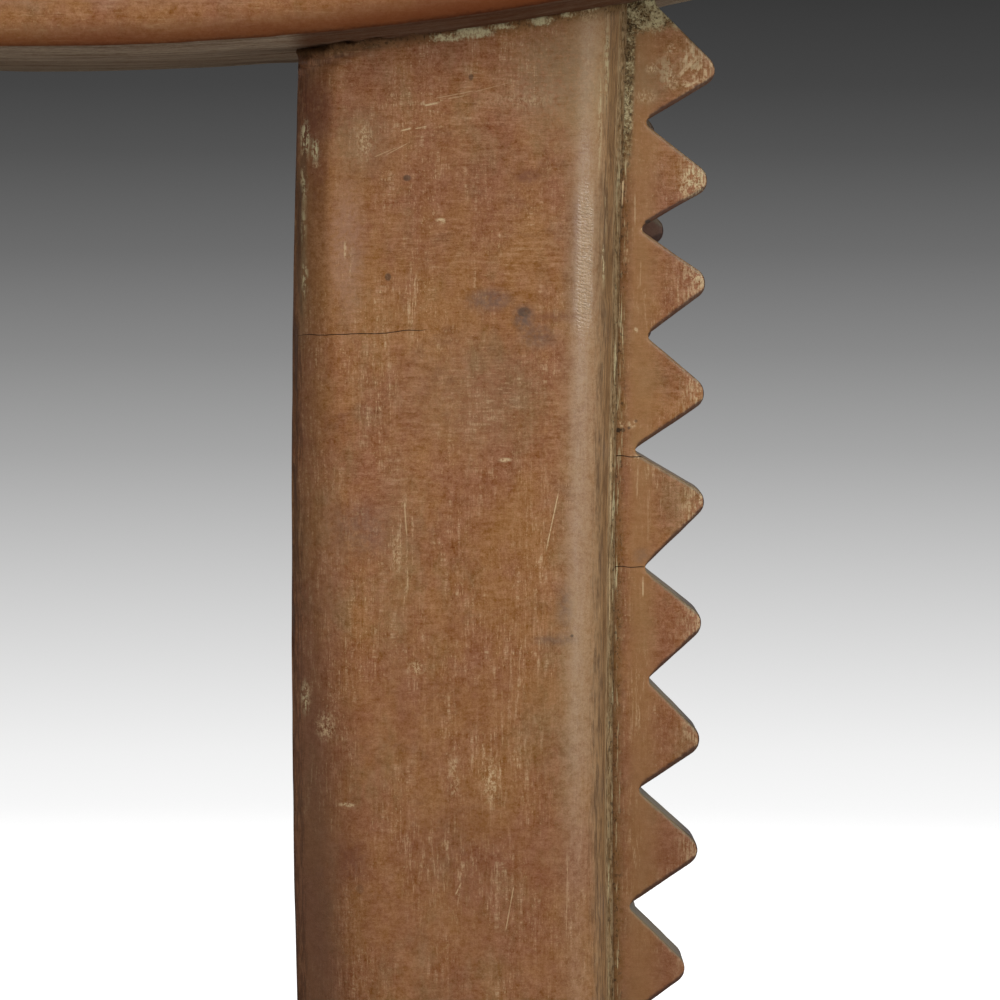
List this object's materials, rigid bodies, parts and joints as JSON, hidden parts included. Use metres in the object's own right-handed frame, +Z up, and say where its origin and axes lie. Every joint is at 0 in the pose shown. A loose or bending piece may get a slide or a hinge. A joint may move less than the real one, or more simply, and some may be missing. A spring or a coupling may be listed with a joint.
{
  "type": "carved stool",
  "caption": "Carved wooden stool with a curved seat on broad corner legs that carry saw-toothed flanges, standing on a flat slab base.",
  "frame": {"origin": "middle of the base's flat underside", "axes": "+X along the seat, -Y the front that the picture shows, +Z up"},
  "size_m": [0.5534, 0.28, 0.3973],
  "materials": {
    "carved_wood": "hand-carved, worn and waxed reddish brown wood"
  },
  "bodies": {
    "root": {"seat": "carved_wood", "base": "carved_wood", "leg_front_right": "carved_wood", "leg_front_left": "carved_wood", "leg_rear_right": "carved_wood", "leg_rear_left": "carved_wood", "flange_front_right": "carved_wood", "flange_front_left": "carved_wood", "flange_rear_right": "carved_wood", "flange_rear_left": "carved_wood"}
  },
  "joints": []
}
